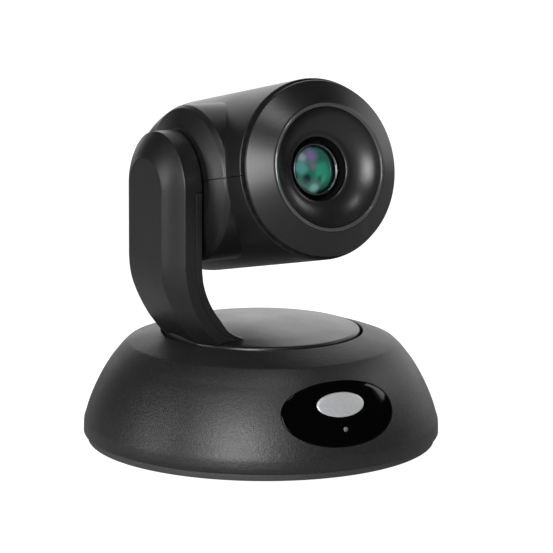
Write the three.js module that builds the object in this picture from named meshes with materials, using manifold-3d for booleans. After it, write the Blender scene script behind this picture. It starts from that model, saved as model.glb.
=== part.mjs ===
// PTZ conference camera: round base, turntable, one curved arm and a tilting barrel head.
// Millimetres, +Z up. Origin: centre of the base on the surface it stands on.
// The base's dark front window faces -Y. At rest the head is panned PAN_REST to the
// left of the window and tilted up by TILT_REST.
import * as THREE from 'three';
import { mergeVertices } from 'three/addons/utils/BufferGeometryUtils.js';
import Module from 'manifold-3d';

const wasm = await Module();
wasm.setup();

// ---------------------------------------------------------------- driving dimensions
const PAN_REST = 3.8;            // deg about +Z, lens direction from -Y
const TILT_REST = 12.07;         // deg, lens up
const TILT_Z = 134.66;           // height of the tilt axis
const FOOT_H = 1.2;              // rubber foot
const PLATE_Z0 = 1.5, PLATE_Z1 = 4.9, PLATE_R = 88.1;
const WALL = 2.6;                // base shell wall
const OPEN_R = 51.2;             // turntable opening in the base shell
const DISC_R = 49.6;             // turntable disc
const BASE_OUT = [               // outer profile of the base shell [r, z]
  [90.2, 5.2], [90.0, 11.8], [87.8, 19.2], [85.1, 26.1], [82.0, 32.6],
  [78.5, 38.7], [74.5, 44.3], [70.1, 49.5], [67.8, 51.7], [62.2, 53.8], [51.2, 57.3]];
const WIN_A = 30.82, WIN_B = 14.65, WIN_Z = 30.73, WIN_N = 2.09;   // front window oval
const BADGE_A = 12.9, BADGE_B = 5.3, BADGE_Z = 35.2;
const LED_Z = 23.9;
const PANEL_Y = 64, PANEL_X = 45, PANEL_ZA = 11, PANEL_ZB = 37, TRAY = 2;
const BOARD_Z0 = 9.5, BOARD_Z1 = 11.1;
// gears and belt
const GEAR_M = 1.25, GEAR_N = 48, PINION_N = 12, BACKLASH = 0.36;
const PINION_ANG = 210;          // deg, where the pinion sits round the pan axis
const GEAR_Z0 = 43.8, GEAR_Z1 = 47.8;
const TILT_PULLEY_R = 11.2, MOTOR_PULLEY_R = 4.5, BELT_T = 1.1, PULLEY_GAP = 36;
const BELT_L0 = 61.9, BELT_L1 = 64.9;
// head
const HEAD_R = 44.17, HEAD_FRONT = 51.2, HEAD_REAR = -60, HEAD_ROUND = 9, HEAD_WALL = 2.2;
const BOSS_R = 38.8, BOSS_L = 48.3;
// arm: three curves l(z) of the arm's inner face, bevel edge and outer facet
const ARM_W3 = 25.8, ARM_W2 = 27.0, ARM_W1 = 15.9;      // half widths of the three rings
const ARM_H3 = 27.1, ARM_H2 = 27.0, ARM_H1 = 15.0;      // heights of their arches over the tilt axis
const L3 = 50.6, LS = 54.7, L2 = 61.0, L1 = 67.8;
const ARM_Z = [54, 56, 58.5, 61, 64, 67, 70, 74, 78, 82, 86, 90, 95, 100, 112, TILT_Z];
const ARM_C1 = [44.4, 46.6, 49.0, 51.2, 53.6, 55.9, 57.8, 60.2, 62.3, 64.2, 65.8, 66.9, 67.6, 67.8, 67.8, 67.8];
const ARM_C2 = [37.9, 39.9, 42.1, 44.3, 47.4, 50.1, 52.2, 54.5, 56.3, 57.9, 59.1, 59.9, 60.6, 61.0, 61.0, 61.0];
const ARM_C3 = [16.0, 18.5, 22.6, 29.8, 34.9, 37.6, 39.7, 42.8, 45.3, 47.2, 48.7, 49.7, 50.3, 50.6, 50.6, 50.6];
const ARM_T = 2.0;               // arm cover wall

const D2R = Math.PI / 180;

// ---------------------------------------------------------------- solids from three.js geometry
function solid(geo) {
  const g = geo.index ? geo.clone() : geo.clone();
  g.deleteAttribute('normal'); g.deleteAttribute('uv');
  const m = mergeVertices(g, 1e-4);
  const ix = m.index.array, keep = [];
  for (let i = 0; i < ix.length; i += 3) {
    const a = ix[i], b = ix[i + 1], c = ix[i + 2];
    if (a !== b && b !== c && c !== a) keep.push(a, b, c);
  }
  const make = (t) => new wasm.Manifold(new wasm.Mesh({
    numProp: 3, vertProperties: new Float32Array(m.attributes.position.array), triVerts: new Uint32Array(t) }));
  let s = make(keep);
  if (s.volume() < 0) {
    const f = [];
    for (let i = 0; i < keep.length; i += 3) f.push(keep[i], keep[i + 2], keep[i + 1]);
    s = make(f);
  }
  return s;
}
function geometry(s) {
  const m = s.getMesh();
  const g = new THREE.BufferGeometry();
  const n = m.numProp, v = m.vertProperties, p = new Float32Array(v.length / n * 3);
  for (let i = 0; i < v.length / n; i++) for (let k = 0; k < 3; k++) p[3 * i + k] = v[n * i + k];
  g.setAttribute('position', new THREE.BufferAttribute(p, 3));
  g.setIndex(new THREE.BufferAttribute(new Uint32Array(m.triVerts), 1));
  g.computeVertexNormals();
  return g;
}
// closed profile [[r, a], ...] turned about Z
function lathe(prof, seg = 32) {
  const pts = prof.map(([r, z]) => new THREE.Vector2(r, z));
  const first = prof[0], last = prof[prof.length - 1];
  if (!(first[0] === 0 && last[0] === 0)) pts.push(pts[0].clone());
  const g = new THREE.LatheGeometry(pts, seg);
  g.rotateX(Math.PI / 2);
  return solid(g);
}
// the same, turned about the lens axis: a grows towards the lens (-Y)
function latheS(prof, seg = 24) {
  const pts = prof.map(([r, s]) => new THREE.Vector2(r, s));
  const first = prof[0], last = prof[prof.length - 1];
  if (!(first[0] === 0 && last[0] === 0)) pts.push(pts[0].clone());
  const g = new THREE.LatheGeometry(pts, seg);
  g.rotateX(Math.PI);
  return solid(g);
}
// the same, turned about the tilt axis: a grows towards the arm (-X)
function latheL(prof, seg = 28) {
  const pts = prof.map(([r, l]) => new THREE.Vector2(r, l));
  const first = prof[0], last = prof[prof.length - 1];
  if (!(first[0] === 0 && last[0] === 0)) pts.push(pts[0].clone());
  const g = new THREE.LatheGeometry(pts, seg);
  g.rotateZ(Math.PI / 2);
  return solid(g);
}
function box(x0, x1, y0, y1, z0, z1) {
  const g = new THREE.BoxGeometry(x1 - x0, y1 - y0, z1 - z0);
  g.translate((x0 + x1) / 2, (y0 + y1) / 2, (z0 + z1) / 2);
  return solid(g);
}
function cylZ(x, y, r, z0, z1, seg = 20) {
  const g = new THREE.CylinderGeometry(r, r, z1 - z0, seg);
  g.rotateX(Math.PI / 2); g.translate(x, y, (z0 + z1) / 2);
  return solid(g);
}
function cylY(x, z, r, y0, y1, seg = 20) {
  const g = new THREE.CylinderGeometry(r, r, y1 - y0, seg);
  g.translate(x, (y0 + y1) / 2, z);
  return solid(g);
}
function cylX(y, z, r, x0, x1, seg = 20) {
  const g = new THREE.CylinderGeometry(r, r, x1 - x0, seg);
  g.rotateZ(Math.PI / 2); g.translate((x0 + x1) / 2, y, z);
  return solid(g);
}
function extrudeShape(pts, depth, holes = []) {
  const sh = new THREE.Shape(pts.map(([a, b]) => new THREE.Vector2(a, b)));
  for (const h of holes) sh.holes.push(new THREE.Path(h.map(([a, b]) => new THREE.Vector2(a, b))));
  return new THREE.ExtrudeGeometry(sh, { depth, bevelEnabled: false, curveSegments: 1 });
}
function ring(r, n, x = 0, y = 0, ph = 0) {
  const o = [];
  for (let i = 0; i < n; i++) { const a = ph + 2 * Math.PI * i / n; o.push([x + r * Math.cos(a), y + r * Math.sin(a)]); }
  return o;
}
// prism along Y with a superellipse outline in x, z
function ovalY(a, b, zc, n, y0, y1, seg = 36) {
  const o = [];
  for (let i = 0; i < seg; i++) {
    const t = 2 * Math.PI * i / seg, c = Math.cos(t), s = Math.sin(t);
    o.push([a * Math.sign(c) * Math.abs(c) ** (2 / n), b * Math.sign(s) * Math.abs(s) ** (2 / n)]);
  }
  const g = extrudeShape(o, y1 - y0);
  g.rotateX(Math.PI / 2);                 // depth now runs along -Y
  g.translate(0, y1, zc);
  return solid(g);
}
function interp(zs, vs, z) {
  if (z <= zs[0]) return vs[0];
  for (let i = 1; i < zs.length; i++) if (z <= zs[i]) {
    const t = (z - zs[i - 1]) / (zs[i] - zs[i - 1]);
    return vs[i - 1] + t * (vs[i] - vs[i - 1]);
  }
  return vs[vs.length - 1];
}

const colours = {
  shell: [0x2b2b2c, 0.62, 0], head: [0x2a2a2b, 0.5, 0], bezel: [0x262627, 0.42, 0], gloss: [0x050506, 0.08, 0],
  silver: [0xc8cacc, 0.25, 0.9], led: [0x8a8d90, 0.3, 0], rubber: [0x141414, 0.9, 0], board: [0x0f4a2c, 0.55, 0],
  steel: [0xa9acb0, 0.35, 0.9], motor: [0x3c3e42, 0.4, 0.7], brass: [0xb5914a, 0.35, 0.9], black: [0x101011, 0.5, 0],
  plate: [0x202021, 0.6, 0], gear: [0xe6e3da, 0.5, 0], alu: [0xb4b7ba, 0.4, 0.85], lens: [0x16302e, 0.05, 0],
  jack: [0x9b9ea2, 0.35, 0.8], belt: [0x18181a, 0.8, 0], cable: [0x1a1a1b, 0.7, 0], chassis: [0x8c8f93, 0.45, 0.7],
};
const group = new THREE.Group();
const turntable = new THREE.Group();
turntable.rotation.z = PAN_REST * D2R;
const head = new THREE.Group();
head.position.set(0, 0, TILT_Z);
head.rotation.x = -TILT_REST * D2R;
turntable.add(head);
group.add(turntable);
function add(parent, name, s, colour) {
  const [c, rough, metal] = colours[colour];
  const m = new THREE.Mesh(geometry(s), new THREE.MeshStandardMaterial({ color: c, roughness: rough, metalness: metal }));
  m.name = name;
  parent.add(m);
  return m;
}
const at = (deg, r) => [r * Math.cos(deg * D2R), r * Math.sin(deg * D2R)];

// ---------------------------------------------------------------- base shell, plate, feet
// profile moved inwards by d along the surface normal
function offsetIn(prof, d) {
  return prof.map(([r, z], i) => {
    const a = prof[Math.max(0, i - 1)], b = prof[Math.min(prof.length - 1, i + 1)];
    let tx = b[0] - a[0], tz = b[1] - a[1]; const n = Math.hypot(tx, tz); tx /= n; tz /= n;
    return [r - d * tz, z + d * tx];
  });
}
function domeSolid(d, seg = 48) {        // full solid under the shell's outer surface, moved in by d
  const o = offsetIn(BASE_OUT, d);
  const zb = o[0][1] - 0.6;
  return lathe([[0, zb], [o[0][0], zb], ...o, [0, o[o.length - 1][1]]], seg);
}
const inner = offsetIn(BASE_OUT, WALL);
let shell = lathe([...BASE_OUT, [OPEN_R, 50.6], [OPEN_R + 2.2, 50.6], [OPEN_R + 2.2, inner[10][1] - 0.6],
  inner[8], inner[6], inner[4], inner[2], [inner[0][0], 5.2]], 48);
shell = shell.subtract(ovalY(WIN_A, WIN_B, WIN_Z, WIN_N, -100, -55));
shell = shell.subtract(box(-PANEL_X - TRAY - 0.3, PANEL_X + TRAY + 0.3, PANEL_Y - TRAY - 0.3, 100, PANEL_ZA - TRAY - 0.3, PANEL_ZB + TRAY + 0.3));
add(group, 'base_shell', shell, 'shell');

const POSTS = [30, 150, 270], POST_R = 44;
let plate = lathe([[6.8, PLATE_Z0], [PLATE_R, PLATE_Z0], [88.5, PLATE_Z1], [84, PLATE_Z1], [84, 4.0], [6.8, 4.0]], 48);
for (const a of POSTS) {
  const [x, y] = at(a, POST_R);
  plate = plate.subtract(cylZ(x, y, 1.7, 1, 5, 10)).subtract(cylZ(x, y, 3.6, 1, 3.0, 12));
}
add(group, 'base_plate', plate, 'plate');
[45, 135, 225, 315].forEach((a, i) => {
  const [x, y] = at(a, 70);
  add(group, `foot_${i + 1}`, cylZ(x, y, 8, 0, FOOT_H, 20), 'rubber');
});
add(group, 'tripod_insert', lathe([[3.3, 1.7], [6.4, 1.7], [6.4, 8.6], [0, 8.6], [0, 8.0], [3.3, 8.0]], 16), 'brass');
POSTS.forEach((a, i) => {
  const [x, y] = at(a, POST_R);
  add(group, `base_screw_${i + 1}`, cylZ(x, y, 3.2, 1.8, 2.8, 12).add(cylZ(x, y, 1.35, 2.7, 11, 8)), 'steel');
});

// ---------------------------------------------------------------- front window, badge, light, receiver
const winBand = domeSolid(0.25).subtract(domeSolid(2.35));
let win = winBand.intersect(ovalY(WIN_A - 0.3, WIN_B - 0.3, WIN_Z, WIN_N, -100, -55));
win = win.subtract(cylY(0, LED_Z, 1.6, -95, -60, 16));
add(group, 'ir_window', win, 'gloss');
const badge = domeSolid(-0.75).subtract(domeSolid(0.05)).intersect(ovalY(BADGE_A, BADGE_B, BADGE_Z, 2, -100, -55, 24));
add(group, 'window_badge', badge, 'silver');
add(group, 'status_led', cylY(0, LED_Z, 1.3, -86.0, -77, 16).add(box(-1.3, 1.3, -78.5, -75, BOARD_Z1 + 0.3, LED_Z + 1.3)), 'led');
add(group, 'ir_receiver', box(-16, -9, -75, -70, BOARD_Z1 + 0.3, 24).add(cylY(-12.5, 20.5, 2.4, -77.2, -74.5, 16)), 'black');

// ---------------------------------------------------------------- main board and rear connectors
{
  const o = [];
  const R = 80, yMax = 60.8, a0 = Math.asin(yMax / R);
  for (let i = 0; i <= 30; i++) { const a = Math.PI - a0 + (Math.PI + 2 * a0) * i / 30; o.push([R * Math.cos(a), R * Math.sin(a)]); }
  const holes = [ring(20, 20)];
  for (const a of POSTS) { const [x, y] = at(a, POST_R); holes.push(ring(4.8, 10, x, y)); }
  const g = extrudeShape(o, BOARD_Z1 - BOARD_Z0, holes);
  g.translate(0, 0, BOARD_Z0);
  add(group, 'main_board', solid(g), 'board');
}
const JB = BOARD_Z1 + 0.3;        // underside of the connectors
const FACE = PANEL_Y + 0.3;       // their front faces
let tray = box(-PANEL_X - TRAY, PANEL_X + TRAY, PANEL_Y - TRAY, 100, PANEL_ZA - TRAY, PANEL_ZB + TRAY)
  .subtract(box(-PANEL_X, PANEL_X, PANEL_Y, 110, PANEL_ZA, PANEL_ZB))
  .intersect(domeSolid(0.15));
const cutouts = [
  box(31.2, 40.8, 60, 70, JB - 0.1, JB + 11.3), box(11.7, 28.3, 60, 70, JB - 0.1, JB + 13.8),
  box(-8.3, 8.3, 60, 70, JB - 0.1, JB + 13.8), box(-25.3, -9.7, 60, 70, JB - 0.1, JB + 6.4)];
for (const c of cutouts) tray = tray.subtract(c);
tray = tray.subtract(cylY(-36, 21, 5.2, 60, 70, 24)).subtract(cylY(20, 31, 3.7, 60, 70, 24));
add(group, 'rear_panel', tray, 'plate');
add(group, 'power_jack', box(31.5, 40.5, 50, FACE, JB, JB + 11)
  .subtract(cylY(36, JB + 5.8, 3.2, 54, 70, 20)).add(cylY(36, JB + 5.8, 1.0, 53, FACE - 1, 12)), 'black');
const rj = (x) => box(x - 8, x + 8, 44, FACE, JB, JB + 13.5).subtract(box(x - 5.9, x + 5.9, 52, 70, JB + 2.2, JB + 10.2))
  .subtract(box(x - 3, x + 3, 52, 70, JB + 10, JB + 12));
add(group, 'network_jack', rj(20), 'jack');
add(group, 'serial_jack', rj(0), 'jack');
add(group, 'hdmi_port', box(-25, -10, 52, FACE, JB, JB + 6.1).subtract(box(-24.5, -10.5, 55, 70, JB + 0.7, JB + 5.4)), 'jack');
{
  const g = new THREE.LatheGeometry([[0, 52], [4.85, 52], [4.85, 76], [4.1, 76], [4.1, 66], [1.1, 66], [1.1, 74.5], [0, 74.5]]
    .map(([r, y]) => new THREE.Vector2(r, y)), 16);
  g.translate(-36, 0, 21);
  let s = solid(g);
  s = s.add(box(-42, -30, 52, 61.6, JB, 27));
  s = s.add(cylX(71, 21, 0.9, -41.6, -30.4, 10).subtract(cylY(-36, 21, 4.3, 60, 80, 16)));
  add(group, 'sdi_connector', s, 'jack');
}
add(group, 'mode_switch_body', box(15.5, 24.5, 55, PANEL_Y - TRAY - 0.3, 26.6, 35.4).subtract(cylY(20, 31, 1.8, 56.5, 70, 16)), 'black');
add(group, 'mode_switch_knob', cylY(20, 31, 3.3, 62.3, 65.6, 18).add(cylY(20, 31, 1.5, 57, 62.4, 16))
  .subtract(box(17, 23, 64.8, 70, 30.6, 31.4)), 'gear');

// ---------------------------------------------------------------- pan drive in the base
let chassis = lathe([[16.2, 33.2], [19, 33.2], [19, 38.5], [50, 38.5], [50, 40.5], [16.2, 40.5]], 36);
for (const a of POSTS) {
  const [x, y] = at(a, POST_R);
  chassis = chassis.add(cylZ(x, y, 4, 4.3, 38.7, 12)).subtract(cylZ(x, y, 1.65, 4, 13, 8));
}
const PIN = at(PINION_ANG, GEAR_M * (GEAR_N + PINION_N) / 2);
chassis = chassis.subtract(cylZ(PIN[0], PIN[1], 4, 38, 41, 20));
add(group, 'pan_chassis', chassis, 'chassis');
add(group, 'pan_motor', cylZ(PIN[0], PIN[1], 14, 18, 38.2, 24).add(cylZ(PIN[0], PIN[1], 3.6, 38, 40, 20))
  .subtract(cylZ(PIN[0], PIN[1], 1.75, 30, 41, 16)), 'motor');
add(group, 'pan_bearing_outer', lathe([[13.9, 33.5], [16.0, 33.5], [16.0, 40.3], [13.9, 40.3]], 28), 'steel');

// involute gear outline, n teeth of module m, first tooth centred on +X
function gearOutline(n, m, thin, mid = true) {
  const rp = m * n / 2, pa = 20 * D2R, rb = rp * Math.cos(pa), ra = rp + 0.92 * m, rf = Math.max(rp - 1.22 * m, 1);
  const inv = (a) => Math.tan(a) - a;
  const half = (Math.PI * m / 2 - thin) / 2 / rp;         // half tooth angle at the pitch circle
  const angAt = (r) => { const al = r <= rb ? 0 : Math.acos(rb / r); return half + inv(pa) - inv(al); };
  const rs = mid ? [Math.max(rb, rf) + 0.02, (Math.max(rb, rf) + ra) / 2, ra] : [Math.max(rb, rf) + 0.02, ra];
  const o = [];
  for (let i = 0; i < n; i++) {
    const c = 2 * Math.PI * i / n, q = 2 * Math.PI / n;
    const root = angAt(rs[0]) + 0.03 * q;
    if (root < q / 2 - 0.02 * q) o.push([rf, c - root]);
    for (const r of rs) o.push([r, c - angAt(r)]);
    for (const r of [...rs].reverse()) o.push([r, c + angAt(r)]);
    if (root < q / 2 - 0.02 * q) o.push([rf, c + root]);
  }
  return o.map(([r, a]) => [r * Math.cos(a), r * Math.sin(a)]);
}
{
  // a tooth of the wheel points at the pinion at rest; the wheel turns with the turntable
  const g = extrudeShape(gearOutline(GEAR_N, GEAR_M, BACKLASH / 2, false), GEAR_Z1 - GEAR_Z0, [ring(10.3, 24)]);
  g.rotateZ((PINION_ANG - PAN_REST) * D2R);
  g.translate(0, 0, GEAR_Z0);
  add(turntable, 'pan_gear', solid(g), 'gear');
  const p = extrudeShape(gearOutline(PINION_N, GEAR_M, BACKLASH / 2), 5);
  p.rotateZ((PINION_ANG + 180 + 180 / PINION_N) * D2R);
  p.translate(PIN[0], PIN[1], GEAR_Z0 - 0.4);
  add(group, 'pan_pinion', solid(p).add(cylZ(PIN[0], PIN[1], 1.5, 31, 43.6, 14)), 'brass');
}
add(turntable, 'pan_bearing_inner', lathe([[10.25, 33.5], [12.1, 33.5], [12.1, 40.3], [10.25, 40.3]], 28), 'steel');
let hub = lathe([[6.5, 31], [12, 31], [12, 33.2], [10, 33.2], [10, 49.7], [27, 49.7], [27, 52], [6.5, 52]], 28);
const FS = [[-23, 6], [-23, -6]];            // frame screws, local x, y
for (const [x, y] of FS) hub = hub.subtract(cylZ(x, y, 1.6, 49, 53, 12));
add(turntable, 'pan_hub', hub, 'alu');
FS.forEach(([x, y], i) => add(turntable, `arm_screw_${i + 1}`, cylZ(x, y, 2.6, 48.3, 49.4, 12).add(cylZ(x, y, 1.3, 49.3, 54.6, 8)), 'steel'));

let disc = lathe([[0, 58.6], [6.5, 58.4], [6.5, 52.3], [16.5, 52.3], [16.5, 58.0], [36, 56.9], [47.4, 55.8], [47.4, 53.6], [DISC_R, 53.6],
  [DISC_R, 57.4], [48.8, 58.2], [36, 59.5], [20, 60.5], [0, 61]], 48);
const padCut = (g) => lathe([[0, 56.5 - g], [DISC_R + g, 56.5 - g], [DISC_R + g, 61.9 + g], [0, 61.9 + g]], 48)
  .intersect(box(-60, -43.2 + g, -15.2 - g, 15.2 + g, 50, 70));
disc = disc.add(padCut(0));
disc = disc.subtract(box(-40.2, -32.2, -14.6, 14.6, 50, 60.9));
add(turntable, 'turntable_disc', disc, 'shell');

// ---------------------------------------------------------------- arm
// The arm is lofted through outlines that share heights; each outline's distance from the pan
// axis follows the three curves above, so the arm bends in towards the turntable.
const mapL = (l0, z) => {
  const c3 = interp(ARM_Z, ARM_C3, z), c2 = interp(ARM_Z, ARM_C2, z), c1 = interp(ARM_Z, ARM_C1, z);
  if (l0 <= L2) return c3 + (c2 - c3) * (l0 - L3) / (L2 - L3);
  return c2 + (c1 - c2) * (l0 - L2) / (L1 - L2);
};
function armLoft(rings, zLow, zSet, nArc = 9, topCut = null) {
  // rings: [l0, halfWidth, archRadius]; outline runs up one side, over the arch and down the other
  const P = [], N = 2 * (zSet.length + nArc);
  for (const [l0, w, ra] of rings) {
    const left = [];
    for (const z of zSet) left.push([w, z]);
    for (let i = 1; i <= nArc; i++) {
      const a = (i / (nArc + 0.5)) * Math.PI / 2;
      left.push(topCut === null ? [w * Math.cos(a), TILT_Z + ra * Math.sin(a)] : [w * Math.cos(a) + 1e-3, TILT_Z + topCut * Math.sin(a)]);
    }
    for (const [f, z] of left) P.push([-mapL(l0, z), -f, z]);
    for (const [f, z] of left.slice().reverse()) P.push([-mapL(l0, z), f, z]);
  }
  const idx = [], K = rings.length;
  for (let k = 0; k < K - 1; k++) for (let i = 0; i < N; i++) {
    const j = (i + 1) % N, a = k * N + i, b = k * N + j, c = (k + 1) * N + i, d = (k + 1) * N + j;
    idx.push(a, b, d, a, d, c);
  }
  for (const [k, flip] of [[0, 1], [K - 1, 0]]) for (let i = 0; i < N / 2 - 1; i++) {
    const a = k * N + i, b = k * N + i + 1, c = k * N + N - 2 - i, d = k * N + N - 1 - i;
    if (flip) idx.push(a, c, b, a, d, c); else idx.push(a, b, c, a, c, d);
  }
  const g = new THREE.BufferGeometry();
  g.setAttribute('position', new THREE.BufferAttribute(new Float32Array(P.flat()), 3));
  g.setIndex(idx);
  return solid(g);
}
const zs = ARM_Z.filter((z) => z >= 56);
const zsIn = ARM_Z;
const form = armLoft([[L3, ARM_W3, ARM_H3], [L2, ARM_W2, ARM_H2], [L1, ARM_W1, ARM_H1]], 56, zs);
const core = armLoft([[L3 + ARM_T, ARM_W3 - ARM_T, ARM_H3 - ARM_T], [L2 - 0.9, ARM_W2 - ARM_T, ARM_H2 - ARM_T],
  [L1 - ARM_T, ARM_W1 - 1.2, ARM_H1 - 1.2]], 54, zsIn);
// everything the arm stands on, with clearance
const under = lathe([[0, 50], [DISC_R + 3, 50], [DISC_R + 3, 57.7], [48.8, 58.5], [36, 59.8], [20, 60.8], [0, 61.3]], 48).add(padCut(0.3));
const shellArm = form.subtract(core).subtract(under);
const slab = (lo, hi, z1) => {
  // region between two offsets of the arm's inner face, up to height z1
  const zz = ARM_Z.filter((z) => z < z1 - 1).concat([z1]);
  const P = [], idx = [], w = 40;
  for (const z of zz) for (const [l0, y] of [[lo, -w], [hi, -w], [hi, w], [lo, w]]) P.push([-mapL(l0, z), y, z]);
  for (let k = 0; k < zz.length - 1; k++) for (let i = 0; i < 4; i++) {
    const j = (i + 1) % 4; idx.push(4 * k + i, 4 * k + j, 4 * k + 4 + j, 4 * k + i, 4 * k + 4 + j, 4 * k + 4 + i);
  }
  const t = 4 * (zz.length - 1);
  idx.push(0, 2, 1, 0, 3, 2, t, t + 1, t + 2, t, t + 2, t + 3);
  const g = new THREE.BufferGeometry();
  g.setAttribute('position', new THREE.BufferAttribute(new Float32Array(P.flat()), 3));
  g.setIndex(idx);
  return solid(g);
};
const NECK = cylX(0, TILT_Z, 12.6, -58, -44, 36);
const SEAM_Z = TILT_Z - 0.36;
const innerCover = shellArm.intersect(slab(L3 - 4, LS - 0.15, SEAM_Z)).subtract(NECK);
const outerCover = shellArm.subtract(slab(L3 - 5, LS + 0.15, SEAM_Z + 0.3)).subtract(NECK);
add(turntable, 'arm_outer_cover', outerCover, 'shell');
add(turntable, 'arm_inner_cover', innerCover, 'shell');

// bent frame plate inside the arm
const strip = (path, t) => {
  const a = [], b = [];
  path.forEach(([l, z], i) => {
    const p = path[Math.max(0, i - 1)], q = path[Math.min(path.length - 1, i + 1)];
    let tx = q[0] - p[0], tz = q[1] - p[1]; const n = Math.hypot(tx, tz); tx /= n; tz /= n;
    let k = t / 2;
    if (i > 0 && i < path.length - 1) {
      const d1 = Math.atan2(path[i][1] - p[1], path[i][0] - p[0]), d2 = Math.atan2(q[1] - path[i][1], q[0] - path[i][0]);
      k /= Math.max(0.5, Math.cos((d2 - d1) / 2));
    }
    a.push([l + tz * k, z - tx * k]); b.push([l - tz * k, z + tx * k]);
  });
  return a.concat(b.reverse());
};
const FR = [[60.25, 149.5], [60.25, 82.5], [56.6, 76.6], [50.6, 70.2], [43.6, 64.2], [37.4, 59.2], [34.2, 56.0], [30.6, 53.3], [17.4, 53.3]];
let frame;
{
  const g = extrudeShape(strip(FR, 1.5), 20);      // in l, z; depth along local Y
  g.applyMatrix4(new THREE.Matrix4().makeBasis(new THREE.Vector3(-1, 0, 0), new THREE.Vector3(0, 0, 1), new THREE.Vector3(0, 1, 0)));
  g.translate(0, -10, 0);
  frame = solid(g);
  const plateTop = extrudeShape([[-13, 88], [13, 88], [18.5, 98], [19, 120], [19, 134.66], [13.5, 148], [-13.5, 148], [-19, 134.66], [-19, 120], [-18.5, 98]], 1.5);
  plateTop.applyMatrix4(new THREE.Matrix4().makeBasis(new THREE.Vector3(0, -1, 0), new THREE.Vector3(0, 0, 1), new THREE.Vector3(-1, 0, 0)));
  plateTop.translate(-59.5, 0, 0);
  frame = frame.add(solid(plateTop)).add(cylX(0, TILT_Z, 14.2, -60.2, -56.3, 28)).subtract(cylX(0, TILT_Z, 12.15, -63, -55, 28));
  frame = frame.subtract(cylX(0, TILT_Z - PULLEY_GAP, 3.2, -63, -55, 20));
  for (const [x, y] of FS) frame = frame.subtract(cylZ(x, y, 1.6, 52, 56, 12));
}
add(turntable, 'arm_frame', frame, 'chassis');
add(turntable, 'tilt_bearing_outer', cylX(0, TILT_Z, 12.0, -61.2, -56.3, 28).subtract(cylX(0, TILT_Z, 10.6, -63, -55, 28)), 'steel');
add(turntable, 'tilt_motor', cylX(0, TILT_Z - PULLEY_GAP, 16, -59.2, -53.1, 28).add(cylX(0, TILT_Z - PULLEY_GAP, 3.0, -60.6, -59, 20))
  .subtract(cylX(0, TILT_Z - PULLEY_GAP, 1.75, -62, -54.5, 16)), 'motor');
add(turntable, 'tilt_motor_pulley', cylX(0, TILT_Z - PULLEY_GAP, MOTOR_PULLEY_R, -BELT_L1, -BELT_L0, 20)
  .add(cylX(0, TILT_Z - PULLEY_GAP, 1.5, -65.2, -55, 16)), 'alu');
{
  // belt: hull of two circles, as an open band
  const loop = (d) => {
    const r1 = TILT_PULLEY_R + 0.25 + d, r2 = MOTOR_PULLEY_R + 0.25 + d, o = [];
    const th = Math.acos((r1 - r2) / PULLEY_GAP);
    for (let i = 0; i <= 16; i++) { const a = -(Math.PI - th) + 2 * (Math.PI - th) * i / 16 + Math.PI / 2; o.push([r1 * Math.cos(a), TILT_Z + r1 * Math.sin(a)]); }
    for (let i = 0; i <= 8; i++) { const a = -Math.PI / 2 - th + 2 * th * i / 8; o.push([r2 * Math.cos(a), TILT_Z - PULLEY_GAP + r2 * Math.sin(a)]); }
    return o;
  };
  const g = extrudeShape(loop(BELT_T), BELT_L1 - BELT_L0, [loop(0)]);
  g.applyMatrix4(new THREE.Matrix4().makeBasis(new THREE.Vector3(0, -1, 0), new THREE.Vector3(0, 0, 1), new THREE.Vector3(-1, 0, 0)));
  g.translate(-BELT_L0, 0, 0);
  add(turntable, 'tilt_belt', solid(g), 'belt');
}
{
  const pts = [[55.6, 19.2, 127], [55.6, 19.2, 112], [55.6, 19.2, 98], [54.2, 18.8, 88], [51.2, 17.6, 80], [47.2, 16, 73], [42.2, 14, 66],
    [38.4, 12.6, 60.8], [35.9, 12.4, 57.6], [32.6, 12.6, 55.2], [28.6, 13, 54.3], [21, 13, 54.3]].map(([l, f, z]) => new THREE.Vector3(-l, -f, z));
  const sec = new THREE.Shape(ring(1.5, 6).map(([a, b]) => new THREE.Vector2(a, b)));
  const g = new THREE.ExtrudeGeometry(sec, { steps: 20, bevelEnabled: false, extrudePath: new THREE.CatmullRomCurve3(pts) });
  add(turntable, 'arm_cable', solid(g), 'cable');
}

// ---------------------------------------------------------------- head
const arc = (rc, sc, ro, n) => { const o = []; for (let i = 0; i <= n; i++) { const a = Math.PI / 2 * i / n; o.push([rc + ro * Math.sin(a), sc - ro * Math.cos(a)]); } return o; };
const bOut = latheS([[0, HEAD_REAR], ...arc(HEAD_R - HEAD_ROUND, HEAD_REAR + HEAD_ROUND, HEAD_ROUND, 3), [HEAD_R, HEAD_FRONT], [0, HEAD_FRONT]], 40);
const ri = HEAD_R - HEAD_WALL;
const bIn = latheS([[0, HEAD_REAR + HEAD_WALL], ...arc(ri - 7, HEAD_REAR + HEAD_WALL + 7, 7, 2), [ri, HEAD_FRONT + 2], [0, HEAD_FRONT + 2]], 32);
const pOut = latheL([[0, 0], [BOSS_R, 0], [BOSS_R, 42.8], [38.3, 44.3], [37.2, 45.15], [28.0, BOSS_L], [0, BOSS_L]], 36);
const pIn = latheL([[0, 0], [BOSS_R - 2.2, 0], [BOSS_R - 2.2, 42.4], [35.6, 43.2], [27.4, BOSS_L - 2.2], [0, BOSS_L - 2.2]], 24);
let hs = bOut.add(pOut).subtract(bIn.add(pIn)).subtract(cylX(0, 0, 11.6, -52, -40, 36));
const HSC = [[-30, 0], [28, 0]];             // shell screws, s and x
for (const [s, x] of HSC) hs = hs.subtract(cylZ(x, -s, 3.1, -46, -38, 12));
add(head, 'head_upper_shell', hs.intersect(box(-70, 70, -80, 80, 0.15, 60)), 'head');
add(head, 'head_lower_shell', hs.intersect(box(-70, 70, -80, 80, -60, -0.15)), 'head');
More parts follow.
